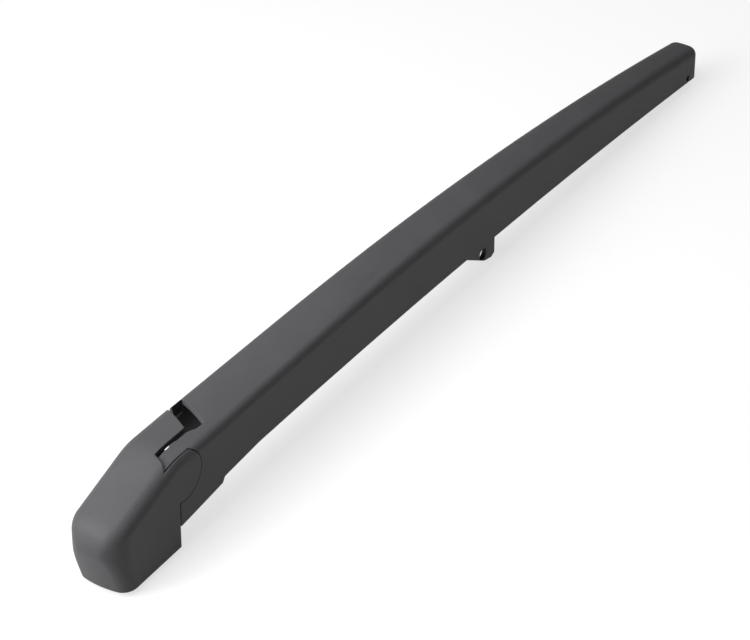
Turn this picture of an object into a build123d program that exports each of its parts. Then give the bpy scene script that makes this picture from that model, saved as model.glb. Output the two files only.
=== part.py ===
"""Rear wiper arm: moulded arm, spindle head with clip-on cover, hinge and tension spring.

The frame's origin is on the spindle axis at the underside of the spindle boss. +Z points
away from the glass along the spindle, +X runs along the arm to its tip, and the side that
the hinge finger is on is -Y. All sizes are millimetres.
"""

import math
import os

from build123d import *

os.makedirs("parts", exist_ok=True)

# Outer form shared by the arm and the cover
crest_z = 35.3
joint_half_width = 9.85
crown_radius = 32.0
crease_radius = 3.0
form_margin = 4.0

# Arm outline
tip_x = 345.0
tip_half_width = 5.6
tip_crest_z = 14.8
tip_low_z = 2.7
tip_corner_radius = 3.5
taper_start_x = 36.0
taper_blend_radius = 800.0
bend_x = 95.0
heel_low_z = 10.0
step_x = 38.0
step_low_z = 12.6
step_run = 1.2
step_rise = 1.8
belly_x = 58.0
belly_z = 15.7

# Arm section and ribs
arm_wall = 1.8
arm_top = 2.0
tip_wall = 3.0
rib_thickness = 1.4
rib_first_x = 108.0
rib_pitch = 28.0
rib_count = 9
rib_recess = 3.0

# Blade ears under the arm
ear_front_x = 181.0
ear_rear_x = 199.0
ear_low_z = 5.6
ear_hole_x = 191.5
ear_hole_z = 9.8
blade_pivot_radius = 2.25
ear_rib_clear = 12.0
ear_root = 0.5
ear_chamfer = 1.0
ear_heel = 2.0

# Drain hole at the tip
drain_from_tip = 8.0
drain_z = 5.3
drain_radius = 1.1

# Hinge
pin_x = 19.0
pin_z = 27.0
pin_radius = 2.5
pin_press_gap = 0.02
running_gap = 0.05
finger_radius = 9.7
pocket_gap = 0.35
shoulder_radius = 8.3
shoulder_gap = 0.3
knuckle_radius = 4.6
barrel_radius = 5.2
shoulder_thickness = 1.95
finger_width = 4.3
cheek_width = 2.9
bush_wall = 0.95
bush_flange = 0.8
bush_flange_radius = 4.4
side_gap = 0.3
lift_angle = 50.0
ridge_length = 17.5
finger_root_x = 52.0

# Cover
cover_wall = 1.4
cover_top = 1.8
cover_rise = 1.1
cover_crease_radius = 4.8
nose_bend_x = 19.0
nose_bend_radius = 24.0
nose_fall_angle = 20.0
nose_fall_length = 23.2
front_bend_radius = 9.0
front_angle = 108.0
nose_skin_room = 2.0
nose_plan_x = -17.6
nose_corner_radius = 9.5
rim_nose_z = 1.5
rim_rear_z = 2.4
skirt_rear_x = 16.0
skirt_gap = 0.5
slit_gap = 0.9
tongue_near_x = 29.0
tongue_far_x = 36.0
tongue_low_z = 32.0
notch_width = 7.0
notch_bite = 1.4
notch_corner_radius = 2.0
notch_depth = 6.0
notch_far_wall = 1.2
sweep_gap = 0.5
bead_length = 10.0
bead_reach = 0.7
bead_height = 0.65

# Spindle head core
boss_radius = 7.4
boss_height = 13.0
flange_low_z = 2.6
flange_thickness = 2.4
flange_rear_x = 14.0
seat_gap = 0.15
web_nut_x = 10.5

# Steel insert for the spindle
bush_radius = 6.0
spindle_radius = 4.2
collar_radius = 7.0
collar_thickness = 1.2

# Tension spring and its pins
spring_pin_radius = 1.5
head_pin_z = 17.5
arm_pin_x = 84.0
arm_pin_z = 22.0
wire_radius = 0.8
coil_radius = 3.2
coil_turns = 14
coil_pitch = 2.8
hook_gap = 0.1
hook_slot_gap = 0.35
pin_boss_radius = 3.2
pin_boss_depth = 1.5
pin_seat_depth = 0.9

# Values worked out from the driving sizes
cover_crest_z = crest_z + cover_rise
form_half = joint_half_width + form_margin
form_height = cover_crest_z + form_margin
bend_drop = crest_z - tip_crest_z
bend_run = tip_x - bend_x
bend_radius = (bend_run**2 + bend_drop**2) / (2 * bend_drop)
bend_angle = math.degrees(math.asin((bend_run + form_margin) / bend_radius))
taper_slope = (joint_half_width - tip_half_width) / (tip_x - taper_start_x)
arm_rear_x = skirt_rear_x + skirt_gap
arm_form_x = pin_x - finger_radius - pocket_gap
cheek_outer_y = joint_half_width - shoulder_thickness
finger_inner_y = cheek_outer_y - finger_width
cheek_inner_y = cheek_outer_y - cheek_width
pocket_radius = finger_radius + pocket_gap
shoulder_inner_y = joint_half_width - cover_wall
tongue_near_y = -finger_inner_y + slit_gap
notch_far_y = joint_half_width - notch_far_wall
sweep_radius = math.hypot(tongue_far_x - pin_x, cover_crest_z - pin_z) + sweep_gap
barrel_near_y = -finger_inner_y + side_gap + bush_flange
barrel_far_y = cheek_inner_y - side_gap - bush_flange
barrel_mid_y = (barrel_near_y + barrel_far_y) / 2
barrel_width = barrel_far_y - barrel_near_y
bush_outer_radius = pin_radius + running_gap + bush_wall
spring_line = Vector(arm_pin_x - pin_x, 0, arm_pin_z - head_pin_z)
spring_length = spring_line.length
hook_radius = spring_pin_radius + hook_gap + wire_radius
coil_length = coil_turns * coil_pitch
coil_start = (spring_length - coil_length) / 2
rest_ridge = Vector(math.cos(math.radians(lift_angle)), -math.sin(math.radians(lift_angle)))
ridge_start = Vector(pin_x, pin_z) + Vector(-rest_ridge.Y, rest_ridge.X) * knuckle_radius
ridge_end = ridge_start + rest_ridge * ridge_length


def half_width(x):
    """Half the arm's width at a place along it."""
    return joint_half_width - taper_slope * max(0.0, x - taper_start_x)


def back_z(x):
    """Height of the arm's crest at a place along it."""
    run = max(0.0, x - bend_x)
    return crest_z - bend_radius + math.sqrt(bend_radius**2 - run**2)


def belly_low_z(x):
    """Height of the arm's lower edge beyond the joint."""
    drop = belly_z - tip_low_z
    run = tip_x - belly_x
    radius = (run**2 + drop**2) / (2 * drop)
    return belly_z - radius + math.sqrt(radius**2 - (x - belly_x) ** 2)


def back_plane(x, z, angle):
    """Plane across the back where it runs towards the nose, falling at an angle."""
    slope = math.radians(angle)
    return Plane(origin=(x, 0, z), x_dir=(0, -1, 0), z_dir=(-math.cos(slope), 0, -math.sin(slope)))


def back_point(centre, radius, angle):
    """Point in the middle plane on a bend of the back, where the back falls at an angle."""
    slope = math.radians(angle)
    return centre + Vector(-math.sin(slope), math.cos(slope)) * radius


def crowned_section(plane, inset, depth):
    """Cross-section of the back: a crown above straight sides, down to a depth below the crest."""
    radius = crown_radius - inset
    edge = math.sqrt(radius**2 - form_half**2) - radius - inset
    with BuildSketch(plane) as section:
        with BuildLine():
            Polyline((-form_half, edge), (-form_half, -depth), (form_half, -depth), (form_half, edge))
            ThreePointArc((form_half, edge), (0, -inset), (-form_half, edge))
        make_face()
    return section.sketch


def crowned_bar(top_z, inset):
    """Bar with a crowned back: long bend to the tip, level run, and two bends round the nose."""
    level = crowned_section(back_plane(bend_x, top_z, 0), inset, top_z + inset)
    skin = front_bend_radius - nose_skin_room
    bend_centre = Vector(nose_bend_x, top_z - nose_bend_radius)
    fall_start = back_point(bend_centre, nose_bend_radius, nose_fall_angle)
    fall_plane = back_plane(fall_start.X, fall_start.Y, nose_fall_angle)
    fall_end = fall_start + Vector(fall_plane.z_dir.X, fall_plane.z_dir.Z) * nose_fall_length
    front_centre = fall_end + fall_end - back_point(fall_end, front_bend_radius, nose_fall_angle)
    front_start = back_point(front_centre, front_bend_radius, front_angle)
    front_plane = back_plane(front_start.X, front_start.Y, front_angle)
    core_front = back_point(front_centre, front_bend_radius - skin / 2, front_angle)
    core_drop = Vector(front_plane.z_dir.X, front_plane.z_dir.Z) * top_z
    with BuildPart() as bar:
        revolve(
            level,
            axis=Axis((bend_x, 0, top_z - bend_radius), (0, 1, 0)),
            revolution_arc=bend_angle,
        )
        extrude(level, amount=bend_x - nose_bend_x)
        revolve(
            crowned_section(back_plane(nose_bend_x, top_z, 0), inset, skin),
            axis=Axis((bend_centre.X, 0, bend_centre.Y), (0, -1, 0)),
            revolution_arc=nose_fall_angle,
        )
        extrude(crowned_section(fall_plane, inset, skin), amount=nose_fall_length)
        revolve(
            crowned_section(back_plane(fall_end.X, fall_end.Y, nose_fall_angle), inset, skin),
            axis=Axis((front_centre.X, 0, front_centre.Y), (0, -1, 0)),
            revolution_arc=front_angle - nose_fall_angle,
        )
        extrude(crowned_section(front_plane, inset, skin), amount=top_z)
        with BuildSketch(Plane.XZ):
            with BuildLine():
                Polyline(
                    (nose_bend_x, top_z - skin / 2),
                    back_point(bend_centre, nose_bend_radius - skin / 2, nose_fall_angle),
                    back_point(front_centre, front_bend_radius - skin / 2, nose_fall_angle),
                    core_front,
                    core_front + core_drop,
                    (nose_bend_x, core_front.Y + core_drop.Y),
                    close=True,
                )
            make_face()
        extrude(amount=form_half, both=True)
    return bar.part


def arm_plan(inset, rear_x, front_x):
    """Arm's plan at an inset from its walls, with a round-cornered tip."""
    front_half = half_width(front_x) - inset
    rear_half = joint_half_width - inset
    corner_radius = tip_corner_radius - inset
    with BuildSketch() as plan:
        with BuildLine():
            FilletPolyline(
                (rear_x, -rear_half),
                (taper_start_x, -rear_half),
                (front_x, -front_half),
                (front_x, front_half),
                (taper_start_x, rear_half),
                (rear_x, rear_half),
                radius=(taper_blend_radius, corner_radius, corner_radius, taper_blend_radius),
            )
            Line((rear_x, rear_half), (rear_x, -rear_half))
        make_face()
    return plan.sketch


def head_form(inset, low_z, rear_x, height):
    """Upright block on the head's plan: two straight sides and a round-cornered nose."""
    half = joint_half_width - inset
    front_x = nose_plan_x + inset
    with BuildPart() as block:
        with BuildSketch(Plane.XY.offset(low_z)):
            with BuildLine():
                FilletPolyline(
                    (rear_x, -half),
                    (front_x, -half),
                    (front_x, half),
                    (rear_x, half),
                    radius=nose_corner_radius - inset,
                )
                Line((rear_x, half), (rear_x, -half))
            make_face()
        extrude(amount=height)
    return block.part


arm_bar = crowned_bar(crest_z, 0)
arm_inner_bar = crowned_bar(crest_z, arm_top)
cover_bar = crowned_bar(cover_crest_z, 0)
cover_inner_bar = crowned_bar(cover_crest_z, cover_top)
seat_bar = crowned_bar(cover_crest_z, cover_top + seat_gap)
cover_rear_x = tongue_far_x + notch_width

# Outer envelope of the arm, with its creases rounded
with BuildPart() as arm_outer:
    add(arm_bar)
    extrude(arm_plan(0, arm_form_x, tip_x), amount=form_height, mode=Mode.INTERSECT)
    with BuildSketch(Plane.XZ):
        with BuildLine():
            Polyline(
                (arm_form_x, form_height),
                (arm_form_x, heel_low_z),
                (arm_rear_x, heel_low_z),
                (step_x, step_low_z),
                (step_x + step_run, step_low_z + step_rise),
                (belly_x, belly_z),
            )
            TangentArc((belly_x, belly_z), (tip_x, tip_low_z), tangent=(1, 0))
            Polyline(
                (tip_x, tip_low_z),
                (tip_x + form_half, tip_low_z),
                (tip_x + form_half, form_height),
                (arm_form_x, form_height),
            )
        make_face()
        with BuildLine():
            Polyline(
                (ear_front_x, belly_low_z(ear_front_x) + ear_root),
                (ear_front_x, belly_low_z(ear_front_x)),
                (ear_hole_x + ear_chamfer, ear_low_z + ear_chamfer),
                (ear_rear_x - ear_heel, ear_low_z),
                (ear_rear_x, ear_low_z + ear_chamfer),
                (ear_rear_x, belly_low_z(ear_front_x) + ear_root),
                close=True,
            )
        make_face()
    extrude(amount=form_half, both=True, mode=Mode.INTERSECT)
    creases = arm_outer.edges().filter_by(
        lambda e: e.center().Z > back_z(e.center().X) - 2 * crease_radius
        and (abs(e.center().Y) > 0.8 * half_width(e.center().X) or e.center().X > tip_x - tip_corner_radius)
    )
    fillet(creases, radius=crease_radius)

# Hollow under the arm's back, with the cross ribs left standing
with BuildPart() as arm_cavity:
    add(arm_inner_bar)
    extrude(arm_plan(arm_wall, 0, tip_x - tip_wall), amount=form_height, mode=Mode.INTERSECT)
    for rib in range(rib_count):
        rib_x = rib_first_x + rib * rib_pitch
        if not ear_front_x - ear_rib_clear < rib_x < ear_rear_x + ear_rib_clear:
            with Locations((rib_x, 0, belly_low_z(rib_x) + rib_recess)):
                Box(
                    rib_thickness,
                    2 * form_half,
                    form_height,
                    align=(Align.CENTER, Align.CENTER, Align.MIN),
                    mode=Mode.SUBTRACT,
                )

# Near hinge finger, round about the pin and running out into the arm's back
with BuildPart() as finger:
    with BuildSketch(Plane.XZ.offset(finger_inner_y)):
        with Locations((pin_x, pin_z)):
            Circle(finger_radius)
        with BuildLine():
            Polyline(
                (pin_x, form_height),
                (pin_x, pin_z - finger_radius),
                (pin_x + finger_radius, pin_z - finger_radius),
                (finger_root_x, crest_z - 2 * arm_top),
                (finger_root_x, form_height),
                close=True,
            )
        make_face()
    extrude(amount=joint_half_width - arm_wall / 2 - finger_inner_y)
    add(arm_outer.part, mode=Mode.INTERSECT)

# Far hinge cheek, whose ridge lies flat under the cover's tongue when the arm is lifted
with BuildPart() as cheek:
    with BuildSketch(Plane.XZ.offset(-cheek_inner_y)):
        with Locations((pin_x, pin_z)):
            Circle(knuckle_radius)
        with BuildLine():
            Polyline(
                ridge_start,
                ridge_end,
                (ridge_end.X + knuckle_radius, step_low_z + step_rise),
                (arm_rear_x, heel_low_z),
                (pin_x - knuckle_radius, pin_z),
                close=True,
            )
        make_face()
    extrude(amount=-(joint_half_width - arm_wall / 2 - cheek_inner_y))
    add(arm_outer.part, mode=Mode.INTERSECT)

# Arm: channel section, open below, with its side of the hinge at the rear
with BuildPart() as arm_body:
    add(arm_outer.part)
    add(arm_cavity.part, mode=Mode.SUBTRACT)
    add(finger.part)
    with BuildSketch(Plane.XY.offset(crest_z - notch_depth)):
        with BuildLine():
            Polyline(
                (0, form_half),
                (0, -finger_inner_y),
                (tongue_near_x, -finger_inner_y),
                (tongue_near_x + notch_width / 2, -finger_inner_y - notch_bite),
                (tongue_near_x + notch_width, -finger_inner_y - notch_bite),
                (tongue_far_x + notch_width, notch_far_y),
                (pin_x, notch_far_y),
                (pin_x, form_half),
                close=True,
            )
        notch = make_face()
        bite_corners = notch.vertices().filter_by(lambda v: v.Y < -finger_inner_y - notch_bite / 2)
        fillet(bite_corners, notch_corner_radius)
    extrude(amount=form_height, mode=Mode.SUBTRACT)
    with BuildSketch(Plane.XZ.offset(-cheek_inner_y)):
        with Locations((pin_x, pin_z)):
            Circle(sweep_radius)
        with Locations(ridge_start):
            Rectangle(
                2 * sweep_radius,
                2 * sweep_radius,
                rotation=90 - lift_angle,
                align=(Align.MIN, Align.CENTER),
                mode=Mode.INTERSECT,
            )
    extrude(amount=-form_half, mode=Mode.SUBTRACT)
    add(cheek.part)
    for side in (-1, 1):
        with BuildSketch(Plane.XZ.offset(-side * cheek_outer_y)):
            with Locations((pin_x, pin_z)):
                Circle(shoulder_radius + shoulder_gap)
            with Locations((arm_rear_x, 0)):
                Rectangle(arm_rear_x, form_height, align=(Align.MAX, Align.MIN))
        extrude(amount=-side * form_half, mode=Mode.SUBTRACT)
    with BuildSketch(Plane.XZ):
        with Locations((pin_x, 0)):
            Rectangle(pin_x, form_height, align=(Align.MAX, Align.MIN))
        with Locations((pin_x, pin_z)):
            Circle(finger_radius, mode=Mode.SUBTRACT)
    extrude(amount=cheek_outer_y, mode=Mode.SUBTRACT)
    boss_half = half_width(arm_pin_x) - arm_wall
    for side in (-1, 1):
        boss_y = side * (boss_half - pin_boss_depth)
        with Locations(Location((arm_pin_x, boss_y, arm_pin_z), (-90 * side, 0, 0))):
            Cylinder(
                pin_boss_radius,
                pin_boss_depth + pin_seat_depth,
                align=(Align.CENTER, Align.CENTER, Align.MIN),
            )
    with Locations(Location((arm_pin_x, 0, arm_pin_z), (90, 0, 0))):
        Cylinder(spring_pin_radius + pin_press_gap, 2 * (boss_half + pin_seat_depth), mode=Mode.SUBTRACT)
    with Locations(Location((pin_x, 0, pin_z), (90, 0, 0))):
        Cylinder(pin_radius + pin_press_gap, 2 * form_half, mode=Mode.SUBTRACT)
    with Locations(Location((ear_hole_x, 0, ear_hole_z), (90, 0, 0))):
        Cylinder(blade_pivot_radius, 2 * form_half, mode=Mode.SUBTRACT)
    with Locations(Location((tip_x - drain_from_tip, 0, drain_z), (90, 0, 0))):
        Cylinder(drain_radius, 2 * form_half, mode=Mode.SUBTRACT)
arm_body.part.label = "arm_body"
export_step(arm_body.part, "parts/arm_body.step")

# Outer envelope of the cover, with its crease carried round the nose
with BuildPart() as cover_outer:
    add(head_form(0, 0, cover_rear_x, form_height))
    add(cover_bar, mode=Mode.INTERSECT)
    rim_edges = cover_outer.edges().group_by(Axis.Z)[0]
    upright_edges = cover_outer.edges().filter_by(Axis.Z)
    creases = (cover_outer.edges() - rim_edges - upright_edges).filter_by(
        lambda e: abs(e.center().Y) > joint_half_width / 2
    )
    fillet(creases, radius=cover_crease_radius)

# Hollow of the cover
with BuildPart() as cover_cavity:
    add(head_form(cover_wall, -form_half, cover_rear_x, 2 * form_height))
    add(cover_inner_bar, mode=Mode.INTERSECT)

# Cover: clip-on shell with two round shoulders and an offset tongue at the hinge
with BuildPart() as head_cover:
    add(cover_outer.part)
    add(cover_cavity.part, mode=Mode.SUBTRACT)
    with BuildSketch(Plane.XZ):
        with BuildLine():
            Polyline(
                (-form_height, -form_half),
                (-form_height, rim_nose_z),
                (nose_plan_x, rim_nose_z),
                (skirt_rear_x, rim_rear_z),
                (skirt_rear_x, -form_half),
                close=True,
            )
        make_face()
    extrude(amount=form_half, both=True, mode=Mode.SUBTRACT)
    for side, wall_top_z in ((-1, form_height), (1, tongue_low_z)):
        with BuildSketch(Plane.XZ.offset(-side * cheek_outer_y)):
            with Locations((skirt_rear_x, -form_half)):
                Rectangle(form_height, wall_top_z + form_half, align=(Align.MIN, Align.MIN))
            with Locations((pin_x, pin_z)):
                Circle(shoulder_radius, mode=Mode.SUBTRACT)
        extrude(amount=-side * form_half, mode=Mode.SUBTRACT)
    with BuildSketch(Plane.XZ.offset(-tongue_near_y)):
        with Locations((pin_x, pin_z)):
            Circle(pocket_radius)
            Rectangle(form_height, form_height, align=(Align.MIN, Align.MIN))
    extrude(amount=shoulder_inner_y + tongue_near_y, mode=Mode.SUBTRACT)
    with BuildSketch():
        with BuildLine():
            Polyline(
                (tongue_near_x, -form_half),
                (tongue_near_x, tongue_near_y),
                (tongue_far_x, joint_half_width),
                (tongue_far_x, form_half),
                (tongue_far_x + form_height, form_half),
                (tongue_far_x + form_height, -form_half),
                close=True,
            )
        make_face()
    extrude(amount=form_height, mode=Mode.SUBTRACT)
    for side in (-1, 1):
        with Locations((0, side * (shoulder_inner_y - bead_reach), flange_low_z - seat_gap)):
            Box(
                bead_length,
                bead_reach + cover_wall / 2,
                bead_height,
                align=(Align.CENTER, Align.MIN if side > 0 else Align.MAX, Align.MAX),
            )
head_cover.part.label = "head_cover"
export_step(head_cover.part, "parts/head_cover.step")

# Flange that fills the cover's rim
with BuildPart() as flange:
    add(head_form(cover_wall + seat_gap, flange_low_z, flange_rear_x, flange_thickness))
    add(seat_bar, mode=Mode.INTERSECT)

# Spindle head: boss for the insert, flange that the cover clips over, web and hinge barrel
with BuildPart() as spindle_head:
    Cylinder(boss_radius, boss_height, align=(Align.CENTER, Align.CENTER, Align.MIN))
    add(flange.part)
    with BuildSketch(Plane.XZ.offset(-barrel_far_y)):
        with Locations((pin_x, pin_z)):
            Circle(barrel_radius)
        with BuildLine():
            Polyline(
                (0, flange_low_z),
                (flange_rear_x, flange_low_z),
                (pin_x + hook_radius, head_pin_z - 2 * hook_radius),
                (pin_x + hook_radius + wire_radius, head_pin_z),
                (pin_x + barrel_radius, pin_z),
                (pin_x - barrel_radius, pin_z),
                (web_nut_x, boss_height),
                (web_nut_x, boss_height - flange_thickness),
                (0, boss_height - flange_thickness),
                close=True,
            )
        make_face()
    extrude(amount=barrel_width)
    hook_room = hook_radius + wire_radius + 2 * hook_slot_gap
    with BuildSketch(Plane.XZ.offset(-barrel_mid_y - wire_radius - hook_slot_gap)):
        with Locations((pin_x, head_pin_z)):
            Circle(hook_room)
            Rectangle(form_half, 2 * hook_room, align=(Align.MIN, Align.CENTER))
    extrude(amount=2 * (wire_radius + hook_slot_gap), mode=Mode.SUBTRACT)
    with Locations(Location((pin_x, 0, head_pin_z), (90, 0, 0))):
        Cylinder(spring_pin_radius + pin_press_gap, 2 * form_half, mode=Mode.SUBTRACT)
    with Locations(Location((pin_x, 0, pin_z), (90, 0, 0))):
        Cylinder(bush_outer_radius + pin_press_gap, 2 * form_half, mode=Mode.SUBTRACT)
    Hole(bush_radius + pin_press_gap)
spindle_head.part.label = "spindle_head"
export_step(spindle_head.part, "parts/spindle_head.step")

# Steel insert that takes the spindle, with the collar that its nut bears on
with BuildPart() as spindle_bush:
    Cylinder(bush_radius, boss_height, align=(Align.CENTER, Align.CENTER, Align.MIN))
    with Locations((0, 0, boss_height)):
        Cylinder(collar_radius, collar_thickness, align=(Align.CENTER, Align.CENTER, Align.MIN))
    Hole(spindle_radius)
spindle_bush.part.label = "spindle_bush"
export_step(spindle_bush.part, "parts/spindle_bush.step")

# Hinge pin, pressed into the arm's finger and cheek
with BuildPart() as hinge_pin:
    with Locations(Location((pin_x, 0, pin_z), (90, 0, 0))):
        Cylinder(pin_radius, 2 * (cheek_outer_y - running_gap))
hinge_pin.part.label = "hinge_pin"
export_step(hinge_pin.part, "parts/hinge_pin.step")

# Flanged hinge bushes, one from each end of the barrel
for label, side, face_y in (("hinge_bush_near", -1, barrel_near_y), ("hinge_bush_far", 1, barrel_far_y)):
    with BuildPart(Plane(origin=(pin_x, face_y, pin_z), z_dir=(0, side, 0))) as hinge_bush:
        Cylinder(bush_flange_radius, bush_flange, align=(Align.CENTER, Align.CENTER, Align.MIN))
        Cylinder(
            bush_outer_radius,
            barrel_width / 2 - running_gap,
            align=(Align.CENTER, Align.CENTER, Align.MAX),
        )
        Hole(pin_radius + running_gap)
    hinge_bush.part.label = label
    export_step(hinge_bush.part, f"parts/{label}.step")

# Cross pins that hold the spring: one in the head's web, one between the arm's walls
with BuildPart() as head_spring_pin:
    with Locations(Location((pin_x, barrel_mid_y, head_pin_z), (90, 0, 0))):
        Cylinder(spring_pin_radius, barrel_width)
head_spring_pin.part.label = "head_spring_pin"
export_step(head_spring_pin.part, "parts/head_spring_pin.step")

with BuildPart() as arm_spring_pin:
    with Locations(Location((arm_pin_x, 0, arm_pin_z), (90, 0, 0))):
        Cylinder(spring_pin_radius, 2 * (boss_half + pin_seat_depth - running_gap))
arm_spring_pin.part.label = "arm_spring_pin"
export_step(arm_spring_pin.part, "parts/arm_spring_pin.step")

# Tension spring along local X from the head's pin, with a hook round each pin
with BuildPart() as coil:
    with BuildLine() as helix:
        Helix(coil_pitch, coil_length, coil_radius, center=(coil_start, 0, 0), direction=(1, 0, 0))
    with BuildSketch(Plane(origin=helix.line @ 0, z_dir=helix.line % 0)):
        Circle(wire_radius)
    sweep(path=helix.line, is_frenet=True)
    for pin_at, coil_at, side in ((0, coil_start, -1), (spring_length, coil_start + coil_length, 1)):
        with BuildLine() as hook:
            Line((coil_at, 0, coil_radius), (pin_at, 0, hook_radius))
            ThreePointArc(
                (pin_at, 0, hook_radius), (pin_at + side * hook_radius, 0, 0), (pin_at, 0, -hook_radius)
            )
        with BuildSketch(Plane(origin=hook.line @ 0, z_dir=hook.line % 0)):
            Circle(wire_radius)
        sweep(path=hook.line)
        with Locations((coil_at, 0, coil_radius)):
            Sphere(wire_radius)
spring_seat = Plane(
    origin=(pin_x, barrel_mid_y, head_pin_z),
    x_dir=spring_line,
    z_dir=(-spring_line.Z, 0, spring_line.X),
)
tension_spring = spring_seat.location * coil.part
tension_spring.label = "tension_spring"
export_step(tension_spring, "parts/tension_spring.step")
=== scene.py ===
"""Looks of a rear wiper arm: grained mouldings, plated steel, a wound spring and a pale studio.

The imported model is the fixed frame. Lengths are metres in that frame: the origin is on the
spindle axis, +X runs along the arm to its tip, +Z points away from the glass.
"""

import logging
import math
from dataclasses import dataclass
from enum import Enum

import bpy
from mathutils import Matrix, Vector


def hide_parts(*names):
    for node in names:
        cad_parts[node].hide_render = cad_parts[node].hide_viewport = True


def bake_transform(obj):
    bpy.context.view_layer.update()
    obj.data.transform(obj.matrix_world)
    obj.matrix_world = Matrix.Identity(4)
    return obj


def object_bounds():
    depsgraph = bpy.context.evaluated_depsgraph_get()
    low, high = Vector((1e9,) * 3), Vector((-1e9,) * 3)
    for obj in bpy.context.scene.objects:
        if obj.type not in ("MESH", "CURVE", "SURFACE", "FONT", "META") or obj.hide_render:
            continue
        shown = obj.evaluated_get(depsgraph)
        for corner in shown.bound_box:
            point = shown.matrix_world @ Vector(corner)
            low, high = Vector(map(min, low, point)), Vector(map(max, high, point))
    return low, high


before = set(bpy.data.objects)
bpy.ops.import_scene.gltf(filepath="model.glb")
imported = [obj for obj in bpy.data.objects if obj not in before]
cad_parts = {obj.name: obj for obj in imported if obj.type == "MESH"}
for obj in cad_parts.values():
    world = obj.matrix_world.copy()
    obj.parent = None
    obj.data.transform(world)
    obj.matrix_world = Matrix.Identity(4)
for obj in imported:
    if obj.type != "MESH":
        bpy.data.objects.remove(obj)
CAD_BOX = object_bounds()

LOG = logging.getLogger("rear_wiper_arm")
MM = 0.001

# A Mix node's colour sockets share their names with its number sockets, so they go by place.
MIX_COLOUR_A = 6
MIX_COLOUR_B = 7
MIX_COLOUR_RESULT = 2


class Body(Enum):
    """Rigid bodies that pieces ride on."""

    HEAD = "head"
    ARM = "arm"


class Slot(Enum):
    """Material slots of the record."""

    ARM_PLASTIC = "arm_plastic"
    COVER_PLASTIC = "cover_plastic"
    HEAD_PLASTIC = "head_plastic"
    ZINC_STEEL = "zinc_steel"
    SPRING_STEEL = "spring_steel"
    ACETAL = "acetal"


def linear(hex_colour: str) -> tuple[float, float, float, float]:
    """Turn an sRGB hex colour into linear RGBA.

    Args:
        hex_colour: Six hex digits, with or without a leading hash.

    Returns:
        Linear red, green, blue and an alpha of 1.
    """
    digits = hex_colour.lstrip("#")
    channels = [int(digits[i:i + 2], 16) / 255 for i in (0, 2, 4)]
    straight = [c / 12.92 if c <= 0.04045 else ((c + 0.055) / 1.055) ** 2.4 for c in channels]
    return (*straight, 1.0)


class NodeGraph:
    """A material's or world's node tree, emptied and ready to be filled."""

    def __init__(self, tree: bpy.types.NodeTree) -> None:
        """Take over a tree and clear it."""
        self.tree = tree
        tree.nodes.clear()

    def add(self, kind: str, settings: dict | None = None, **sockets) -> bpy.types.Node:
        """Add one node, set its options and feed its inputs.

        Args:
            kind: Blender's node type name.
            settings: Node properties by name.
            sockets: Input values or output sockets, with underscores for spaces in names.

        Returns:
            The new node.
        """
        node = self.tree.nodes.new(kind)
        for name, value in (settings or {}).items():
            setattr(node, name, value)
        for name, value in sockets.items():
            self.feed(node, name.replace("_", " "), value)
        return node

    def feed(self, node: bpy.types.Node, socket: str | int, value) -> None:
        """Set a constant on an input, or link an output to it.

        Args:
            node: The node that is fed.
            socket: The input's name or place.
            value: A constant, or another node's output.
        """
        target = node.inputs[socket]
        if isinstance(value, bpy.types.NodeSocket):
            self.tree.links.new(value, target)
        else:
            target.default_value = value

    def mapped(self, value, low: float, high: float) -> bpy.types.NodeSocket:
        """Spread a 0 to 1 pattern over a range, held at both ends.

        Args:
            value: The pattern's output.
            low: Result at 0.
            high: Result at 1.

        Returns:
            The result's output.
        """
        node = self.add("ShaderNodeMapRange", Value=value, To_Min=low, To_Max=high)
        return node.outputs["Result"]

    def blended(self, share, first: str, second: str) -> bpy.types.NodeSocket:
        """Mix two colours.

        Args:
            share: How much of the second colour there is, from 0 to 1.
            first: Hex colour at 0.
            second: Hex colour at 1.

        Returns:
            The mixed colour's output.
        """
        mix = self.add("ShaderNodeMix", {"data_type": "RGBA"}, Factor=share)
        self.feed(mix, MIX_COLOUR_A, linear(first))
        self.feed(mix, MIX_COLOUR_B, linear(second))
        return mix.outputs[MIX_COLOUR_RESULT]


def new_material(name: str) -> tuple[bpy.types.Material, NodeGraph]:
    """Make an empty node material and its graph."""
    material = bpy.data.materials.new(name)
    material.use_nodes = True
    return material, NodeGraph(material.node_tree)


def per_metre(size_mm: float) -> float:
    """Noise scale at which one feature of the pattern is about size_mm long."""
    return 1.0 / (size_mm * MM)


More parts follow.
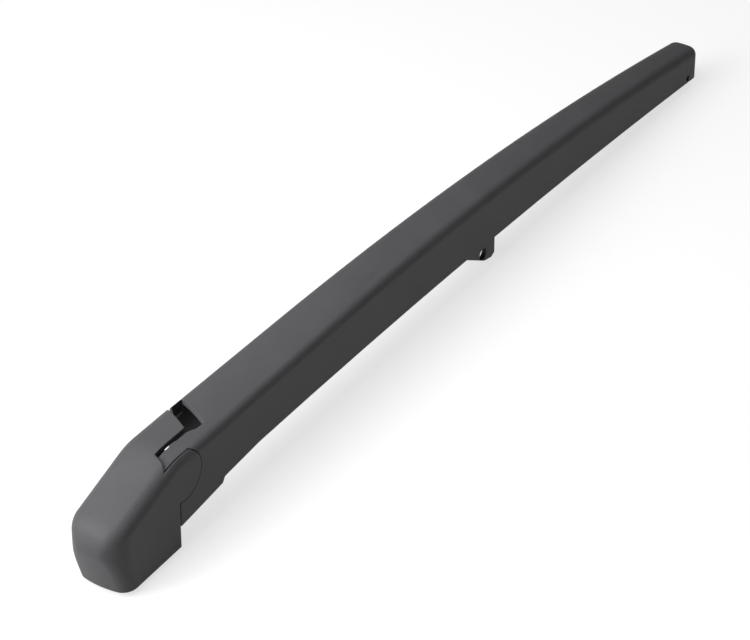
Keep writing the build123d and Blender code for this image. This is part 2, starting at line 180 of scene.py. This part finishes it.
@dataclass(frozen=True)
class MouldedPlastic:
    """Filled engineering plastic with a spark-eroded grain.

    The grain breaks every highlight into a soft satin, slow flow marks shift its sheen by a
    few per cent along the part, and a painted highlight makes sharp edges a little lighter than the faces.
    """

    name: str
    colour: str
    # Lighter colour of the painted highlight on sharp edges.
    edge_highlight_colour: str
    roughness: float
    grain_mm: float
    grain_depth_mm: float
    gloss: float = 0.12
    flow_mm: float = 22.0
    flow_tint: float = 0.12
    flow_sheen: float = 0.04
    edge_mm: float = 0.5
    # How far sharp edges are mixed towards the painted highlight colour.
    edge_highlight_strength: float = 0.55
    face_sameness: float = 0.995
    edge_sameness: float = 0.90
    ior: float = 1.57

    def build(self) -> bpy.types.Material:
        """Build the material."""
        material, graph = new_material(self.name)
        place = graph.add("ShaderNodeTexCoord").outputs["Object"]
        grain = graph.add("ShaderNodeTexNoise", Vector=place, Scale=per_metre(self.grain_mm),
                          Detail=2.0, Roughness=0.6).outputs["Fac"]
        flow = graph.add("ShaderNodeTexNoise", Vector=place, Scale=per_metre(self.flow_mm),
                         Detail=3.0, Distortion=0.8).outputs["Fac"]
        rounded = graph.add("ShaderNodeBevel", {"samples": 4}, Radius=self.edge_mm * MM).outputs["Normal"]
        # Painted highlight: sharp edges are mixed towards the lighter colour.
        tint = graph.blended(self.paint_edge_highlight(graph, rounded), self.colour, self.edge_highlight_colour)
        mottle = graph.add("ShaderNodeHueSaturation", Color=tint,
                           Value=graph.mapped(flow, 1 - self.flow_tint, 1 + self.flow_tint))
        relief = graph.add("ShaderNodeBump", Height=grain, Strength=1.0,
                           Distance=self.grain_depth_mm * MM, Normal=rounded)
        sheen = graph.mapped(flow, self.roughness - self.flow_sheen, self.roughness + self.flow_sheen)
        surface = graph.add("ShaderNodeBsdfPrincipled", Base_Color=mottle.outputs["Color"],
                            IOR=self.ior, Specular_IOR_Level=self.gloss, Roughness=sheen,
                            Normal=relief.outputs["Normal"])
        graph.add("ShaderNodeOutputMaterial", Surface=surface.outputs["BSDF"])
        return material

    def paint_edge_highlight(self, graph: NodeGraph, rounded: bpy.types.NodeSocket) -> bpy.types.NodeSocket:
        """Find the edges, where the rounded normal leaves the face's own, for the painted highlight.

        Args:
            graph: The material's graph.
            rounded: The normal that is rounded at edges.

        Returns:
            The share of painted edge highlight, 0 on faces.
        """
        face = graph.add("ShaderNodeNewGeometry").outputs["Normal"]
        sameness = graph.add("ShaderNodeVectorMath", {"operation": "DOT_PRODUCT"})
        graph.feed(sameness, 0, rounded)
        graph.feed(sameness, 1, face)
        edge_highlight_share = graph.add("ShaderNodeMapRange", Value=sameness.outputs["Value"],
                         From_Min=self.face_sameness, From_Max=self.edge_sameness,
                         To_Min=0.0, To_Max=self.edge_highlight_strength)
        return edge_highlight_share.outputs["Result"]


@dataclass(frozen=True)
class PlatedSteel:
    """Turned or drawn steel under a thin metal or phosphate coat.

    Fine tool marks soften the highlight, and the coat's uneven thickness clouds the colour.
    """

    name: str
    colour: str
    cloud_colour: str
    roughness: float
    line_mm: float
    metallic: float = 1.0
    line_depth_mm: float = 0.02
    line_strength: float = 0.5
    cloud_mm: float = 3.0
    cloud_sheen: float = 0.06

    def build(self) -> bpy.types.Material:
        """Build the material."""
        material, graph = new_material(self.name)
        place = graph.add("ShaderNodeTexCoord").outputs["Object"]
        cloud = graph.add("ShaderNodeTexNoise", Vector=place, Scale=per_metre(self.cloud_mm),
                          Detail=4.0).outputs["Fac"]
        lines = graph.add("ShaderNodeTexNoise", Vector=place, Scale=per_metre(self.line_mm),
                          Detail=3.0, Roughness=0.7).outputs["Fac"]
        tint = graph.blended(cloud, self.colour, self.cloud_colour)
        relief = graph.add("ShaderNodeBump", Height=lines, Strength=self.line_strength,
                           Distance=self.line_depth_mm * MM)
        sheen = graph.mapped(cloud, self.roughness - self.cloud_sheen, self.roughness + self.cloud_sheen)
        surface = graph.add("ShaderNodeBsdfPrincipled", Base_Color=tint, Metallic=self.metallic,
                            Roughness=sheen, Normal=relief.outputs["Normal"])
        graph.add("ShaderNodeOutputMaterial", Surface=surface.outputs["BSDF"])
        return material


@dataclass(frozen=True)
class StudioFloor:
    """Seamless white paper: matt, with a fibre so fine that only its shadow side shows it.

    From below it is clear, so that the arm's open underside can be looked at.
    """

    name: str
    colour: str
    lift: float
    fibre_mm: float = 4.0
    fibre_depth_mm: float = 0.05
    fibre_strength: float = 0.05

    def build(self) -> bpy.types.Material:
        """Build the material."""
        material, graph = new_material(self.name)
        place = graph.add("ShaderNodeTexCoord").outputs["Object"]
        fibre = graph.add("ShaderNodeTexNoise", Vector=place, Scale=per_metre(self.fibre_mm),
                          Detail=3.0).outputs["Fac"]
        relief = graph.add("ShaderNodeBump", Height=fibre, Strength=self.fibre_strength,
                           Distance=self.fibre_depth_mm * MM)
        paper = graph.add("ShaderNodeBsdfDiffuse", Color=linear(self.colour),
                          Normal=relief.outputs["Normal"])
        path = graph.add("ShaderNodeLightPath").outputs
        seen = graph.add("ShaderNodeMath", {"operation": "MAXIMUM"})
        graph.feed(seen, 0, path["Is Camera Ray"])
        graph.feed(seen, 1, path["Is Glossy Ray"])
        either = graph.add("ShaderNodeMath", {"operation": "MAXIMUM"})
        graph.feed(either, 0, seen.outputs["Value"])
        graph.feed(either, 1, path["Is Transmission Ray"])
        strength = graph.mapped(either.outputs["Value"], 0.0, self.lift)
        glow = graph.add("ShaderNodeEmission", Color=linear("#FFFFFF"), Strength=strength)
        both = graph.add("ShaderNodeAddShader")
        graph.feed(both, 0, paper.outputs["BSDF"])
        graph.feed(both, 1, glow.outputs["Emission"])
        clear = graph.add("ShaderNodeBsdfTransparent")
        sided = graph.add("ShaderNodeMixShader")
        graph.feed(sided, 0, graph.add("ShaderNodeNewGeometry").outputs["Backfacing"])
        graph.feed(sided, 1, both.outputs["Shader"])
        graph.feed(sided, 2, clear.outputs["BSDF"])
        graph.add("ShaderNodeOutputMaterial", Surface=sided.outputs["Shader"])
        return material


# A spark-eroded grain is about 0.15 mm wide. It is drawn at 0.6 mm, about two pixels, to show.
# The glass fill greys the black and scatters the light: a soft dark grey with hardly a highlight.
# In each plastic below, the second colour is a painted highlight on sharp edges.
ARM_PLASTIC = MouldedPlastic("glass_filled_pbt_spark_grained_arm", "#555557", "#68686A", 0.50, 0.6, 0.06)
# The cap comes from a mould of its own, so it is a shade lighter than the arm beside it.
COVER_PLASTIC = MouldedPlastic("glass_filled_pbt_spark_grained_cover", "#565658", "#69696B", 0.50, 0.6, 0.06)
# A hidden moulding has no grain: darker, with the coarse flow of its fibres.
HEAD_PLASTIC = MouldedPlastic("glass_filled_nylon_moulded_core", "#2A2A2C", "#3A3A3C", 0.55, 0.9, 0.05)
# Clear zinc gives a cool bright grey. Its 0.05 mm tool marks are drawn at 0.2 mm to show.
ZINC_STEEL = PlatedSteel("steel_turned_zinc_plated", "#B9BBBE", "#A3A6AA", 0.32, 0.2)
# Phosphate is a dark, dull, slightly cloudy coat on drawn wire.
SPRING_STEEL = PlatedSteel("spring_steel_wound_phosphated", "#3A3A3C", "#29292B", 0.5, 0.3, 0.7)
# Unpigmented acetal is a waxy off-white.
ACETAL = MouldedPlastic("acetal_moulded_natural", "#D9D5C8", "#E6E2D6", 0.38, 0.8, 0.02, ior=1.48)
PAPER = StudioFloor("paper_seamless_white", "#A4A4A4", 0.70)


FINISHES: dict[Slot, MouldedPlastic | PlatedSteel] = {
    Slot.ARM_PLASTIC: ARM_PLASTIC,
    Slot.COVER_PLASTIC: COVER_PLASTIC,
    Slot.HEAD_PLASTIC: HEAD_PLASTIC,
    Slot.ZINC_STEEL: ZINC_STEEL,
    Slot.SPRING_STEEL: SPRING_STEEL,
    Slot.ACETAL: ACETAL,
}


@dataclass
class CadPieces:
    """CAD nodes that keep their own shape and take the finish of their slot."""

    nodes: tuple[str, ...]
    slot: Slot

    def dress(self) -> None:
        """Give each node the finish of its slot."""
        material = FINISHES[self.slot].build()
        for name in self.nodes:
            node = bpy.data.objects[name]
            node.data.materials.clear()
            node.data.materials.append(material)


@dataclass
class TensionSpring:
    """Close-wound wire with a hook round the head's pin and another round the arm's pin."""

    node: str = "tension_spring"
    slot: Slot = Slot.SPRING_STEEL
    head_pin_mm: tuple[float, float, float] = (19.0, 0.7, 17.5)
    arm_pin_mm: tuple[float, float, float] = (84.0, 0.7, 22.0)
    wire_radius_mm: float = 0.8
    coil_radius_mm: float = 3.2
    hook_radius_mm: float = 2.4
    turns: int = 14
    pitch_mm: float = 2.8
    turn_steps: int = 28
    ring_steps: int = 14
    hook_steps: int = 14
    bend_angle: float = 0.4
    bend_steps: int = 6
    flex_mm: tuple[float, float] = (1.0, 13.0)

    def build(self) -> bpy.types.Object:
        """Sweep the wire, dress it and hide the CAD spring in its place.

        Returns:
            The spring's object.
        """
        mesh = bpy.data.meshes.new("spring_wire")
        mesh.from_pydata(*self.swept(self.centre_line()))
        mesh.polygons.foreach_set("use_smooth", [True] * len(mesh.polygons))
        mesh.materials.append(FINISHES[self.slot].build())
        spring = bpy.data.objects.new("spring_wire", mesh)
        bpy.context.collection.objects.link(spring)
        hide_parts(self.node)
        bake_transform(spring)
        return spring

    def centre_line(self) -> list[Vector]:
        """Trace the wire's centre from one hook's end to the other's, in millimetres.

        Returns:
            Points in the row frame.
        """
        head_pin = Vector(self.head_pin_mm)
        line = Vector(self.arm_pin_mm) - head_pin
        length = line.length
        coil = self.turns * self.pitch_mm
        start = (length - coil) / 2
        helix = [self.coil_point(start, step / self.turn_steps)
                 for step in range(self.turns * self.turn_steps + 1)]
        skip = round(self.bend_angle / (2 * math.pi) * self.turn_steps)
        first = self.hook(0.0, -1)
        last = self.hook(length, 1)[::-1]
        path = first + self.bend(first[-1], helix[0], helix[skip]) + helix[skip + 1:-skip - 1]
        path += self.bend(helix[-skip - 1], helix[-1], last[0]) + last
        along = line.normalized()
        across = Vector((0.0, 1.0, 0.0))
        up = along.cross(across)
        return [head_pin + along * p.x + across * p.y + up * p.z for p in path]

    def coil_point(self, start: float, turn: float) -> Vector:
        """Give a point of the coil in the spring's own axes, after a number of turns."""
        angle = 2 * math.pi * turn
        return Vector((start + self.pitch_mm * turn, -self.coil_radius_mm * math.sin(angle),
                       self.coil_radius_mm * math.cos(angle)))

    def hook(self, pin_at: float, side: int) -> list[Vector]:
        """Trace a half loop round one pin, from its free end to the straight wire.

        Args:
            pin_at: The pin's place along the spring.
            side: -1 at the head's end, 1 at the arm's end.

        Returns:
            Points in the spring's own axes.
        """
        angles = [math.pi * step / self.hook_steps for step in range(self.hook_steps + 1)]
        return [Vector((pin_at + side * self.hook_radius_mm * math.sin(a), 0.0,
                        -self.hook_radius_mm * math.cos(a))) for a in angles]

    def bend(self, before: Vector, corner: Vector, after: Vector) -> list[Vector]:
        """Round the corner where the coil turns into a straight wire."""
        near = [corner + (p - corner).normalized() * min((p - corner).length, 2 * self.wire_radius_mm)
                for p in (before, after)]
        shares = [step / self.bend_steps for step in range(self.bend_steps + 1)]
        return [near[0] * (1 - t) ** 2 + corner * (2 * t * (1 - t)) + near[1] * t ** 2 for t in shares]

    def swept(self, path: list[Vector]) -> tuple[list, list, list]:
        """Sweep a round section along a path, with a flat cap at each end.

        Args:
            path: Points of the centre line in millimetres.

        Returns:
            Vertices in metres, no edges, and faces.
        """
        ways = [(path[min(i + 1, len(path) - 1)] - path[max(i - 1, 0)]).normalized()
                for i in range(len(path))]
        side = ways[0].orthogonal().normalized()
        count = self.ring_steps
        verts: list[Vector] = []
        for point, way in zip(path, ways):
            side = (side - way * side.dot(way)).normalized()
            other = way.cross(side)
            for step in range(count):
                angle = 2 * math.pi * step / count
                verts.append((point + (side * math.cos(angle) + other * math.sin(angle))
                              * self.wire_radius_mm) * MM)
        faces: list[tuple[int, ...]] = []
        for ring in range(len(path) - 1):
            for step in range(count):
                here, there = ring * count + step, ring * count + (step + 1) % count
                faces.append((here, there, there + count, here + count))
        faces.append(tuple(reversed(range(count))))
        faces.append(tuple(range(len(verts) - count, len(verts))))
        return verts, [], faces


@dataclass(frozen=True)
class SoftBox:
    """A square soft box: its name, its centre and side in metres, and its power in watts."""

    name: str
    place: tuple[float, float, float]
    side: float
    watts: float

    def hang(self, aim: Vector) -> None:
        """Hang the box so that it faces a point.

        Args:
            aim: The point, in metres.
        """
        light = bpy.data.lights.new(self.name, "AREA")
        light.shape = "SQUARE"
        light.size = self.side
        light.energy = self.watts
        lamp = bpy.data.objects.new(self.name, light)
        lamp.location = self.place
        lamp.rotation_euler = (aim - Vector(self.place)).to_track_quat("-Z", "Y").to_euler()
        bpy.context.collection.objects.link(lamp)


@dataclass
class Studio:
    """Paper floor, soft boxes, dim room and the camera at the photograph's angle."""

    aim_mm: tuple[float, float, float] = (133.0, -2.7, 15.0)
    sight: tuple[float, float, float] = (0.6838, 0.4512, -0.5736)
    distance_mm: float = 1100.0
    lens_mm: float = 162.5
    floor_half: float = 12.0
    room_grey: str = "#404040"
    boxes: tuple[SoftBox, ...] = (
        SoftBox("left_far_box", (-0.35, 0.30, 0.40), 0.35, 2.6),
        SoftBox("left_front_box", (-0.48, 0.14, 0.32), 0.35, 1.9),
        SoftBox("head_box", (-0.02, 0.10, 0.50), 0.4, 1.7),
        SoftBox("back_box", (0.85, 0.02, 0.85), 0.5, 1.2),
    )

    def build(self) -> None:
        """Build floor, lights, room and camera."""
        self.floor()
        for box in self.boxes:
            box.hang(Vector(self.aim_mm) * MM)
        self.room()
        self.camera()

    def floor(self) -> None:
        """Lay the paper under the arm's lowest point."""
        half = self.floor_half
        low = CAD_BOX[0][2]
        mesh = bpy.data.meshes.new("paper_floor")
        corners = [(-half, -half, low), (half, -half, low), (half, half, low), (-half, half, low)]
        mesh.from_pydata(corners, [], [(0, 1, 2, 3)])
        floor = bpy.data.objects.new("paper_floor", mesh)
        bpy.context.collection.objects.link(floor)
        mesh.materials.append(PAPER.build())

    def room(self) -> None:
        """Fill the room with a dim even grey."""
        world = bpy.data.worlds.new("studio_room")
        world.use_nodes = True
        graph = NodeGraph(world.node_tree)
        sky = graph.add("ShaderNodeBackground", Color=linear(self.room_grey), Strength=1.0)
        graph.add("ShaderNodeOutputWorld", Surface=sky.outputs["Background"])
        bpy.context.scene.world = world

    def camera(self) -> None:
        """Set the camera on the photograph's line of sight."""
        data = bpy.data.cameras.new("photo_camera")
        data.lens = self.lens_mm
        eye = bpy.data.objects.new("photo_camera", data)
        sight = Vector(self.sight).normalized()
        eye.location = (Vector(self.aim_mm) - sight * self.distance_mm) * MM
        eye.rotation_euler = sight.to_track_quat("-Z", "Y").to_euler()
        bpy.context.collection.objects.link(eye)
        bpy.context.scene.camera = eye


def main() -> None:
    """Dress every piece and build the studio."""
    logging.basicConfig(level=logging.INFO, format="%(name)s: %(message)s")
    bpy.context.scene.view_settings.view_transform = "Standard"
    groups = [
        CadPieces(("arm_body",), Slot.ARM_PLASTIC),
        CadPieces(("head_cover",), Slot.COVER_PLASTIC),
        CadPieces(("spindle_head",), Slot.HEAD_PLASTIC),
        CadPieces(("spindle_bush", "hinge_pin", "head_spring_pin", "arm_spring_pin"), Slot.ZINC_STEEL),
        CadPieces(("hinge_bush_near", "hinge_bush_far"), Slot.ACETAL),
    ]
    for group in groups:
        group.dress()
        LOG.info("dressed %s", ", ".join(group.nodes))
    LOG.info("built %s", TensionSpring().build().name)
    Studio().build()
    LOG.info("built the studio")


if __name__ == "__main__":
    main()
